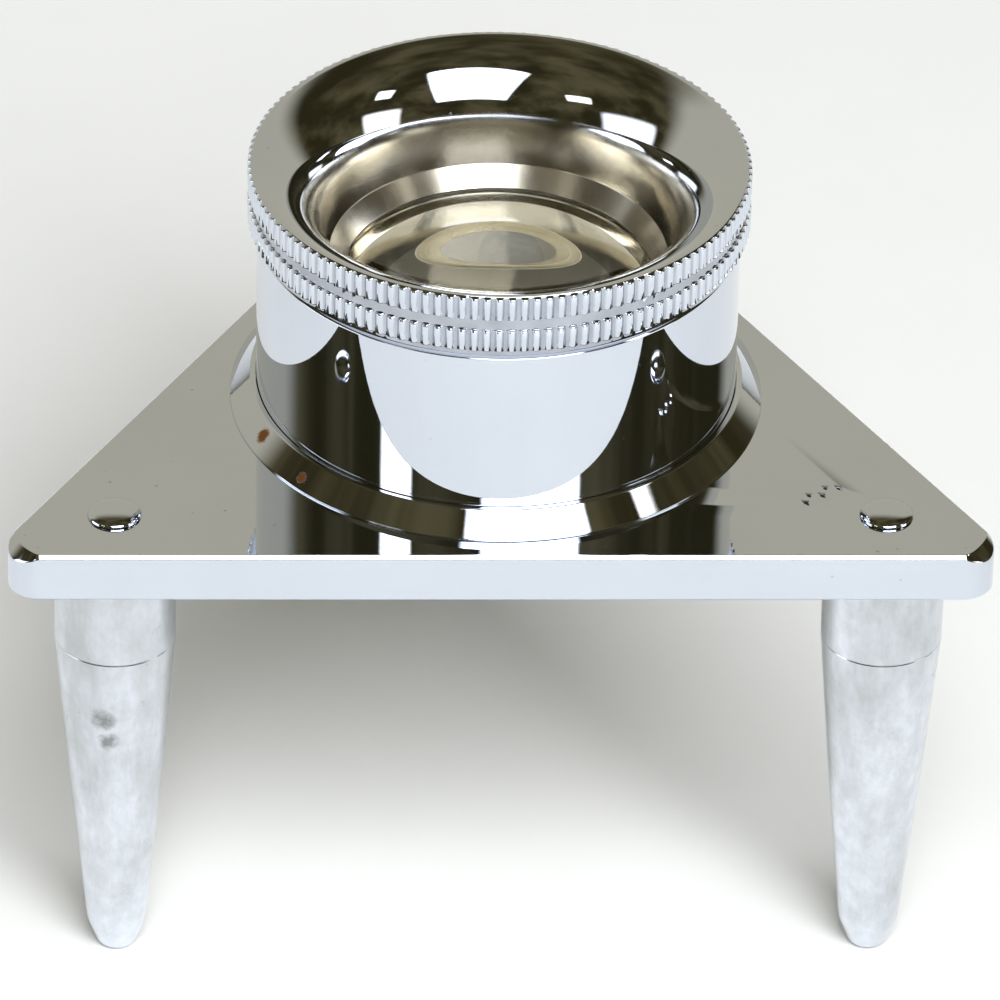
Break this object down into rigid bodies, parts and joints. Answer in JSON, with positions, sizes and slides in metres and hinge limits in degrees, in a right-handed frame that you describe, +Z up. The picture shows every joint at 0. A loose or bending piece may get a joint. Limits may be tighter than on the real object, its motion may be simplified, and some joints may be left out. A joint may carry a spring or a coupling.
{
  "type": "stand magnifier",
  "caption": "Chrome stand magnifier: a three-cornered plate on tapered legs carries a barrel with a knurled screw-focus eyepiece and a dished eyecup.",
  "frame": {"origin": "on the ground under the middle of the bounding box of the object; the optical axis stands 9.82 mm towards -Y from it", "axes": "+Z up along the optical axis from the ground to the eyecup; +Y from the plate's long front edge to its rear corner; +X to the right, along the front edge"},
  "size_m": [0.0726, 0.0636, 0.0594],
  "materials": {
    "chrome_plate": "bright nickel-chrome plating, polished, with fine rubs and specks",
    "leg_aluminium": "turned aluminium, satin, with grey handling marks",
    "bare_brass": "turned brass, unplated, satin and a little dulled",
    "lens_glass": "polished uncoated glass"
  },
  "bodies": {
    "stand": {"base_plate": "chrome_plate", "leg_front_left": "leg_aluminium", "leg_front_right": "leg_aluminium", "leg_rear": "leg_aluminium", "rivet_front_left": "chrome_plate", "rivet_front_right": "chrome_plate", "rivet_rear": "chrome_plate", "barrel": "chrome_plate", "barrel_collar": "chrome_plate", "barrel_lock_ring": "bare_brass"},
    "lens_pair": {"upper_lens": "lens_glass", "lower_lens": "lens_glass"},
    "eyepiece": {"eyecup": "chrome_plate", "lens_spacer": "bare_brass", "lens_retaining_ring": "bare_brass"}
  },
  "joints": [
    {"name": "focus_slide", "type": "slide", "parent": "stand", "child": "lens_pair", "axis": [0, 0, 1], "range_m": [0, 0.006]},
    {"name": "focus_turn", "type": "hinge", "parent": "lens_pair", "child": "eyepiece", "pos_m": [0, -0.00982, 0.0544], "axis": [0, 0, 1], "range_deg": [0, 2160]}
  ],
  "couplings": [
    {"joint": "focus_slide", "follows": "focus_turn", "m_per_rad": 0.00015915}
  ]
}
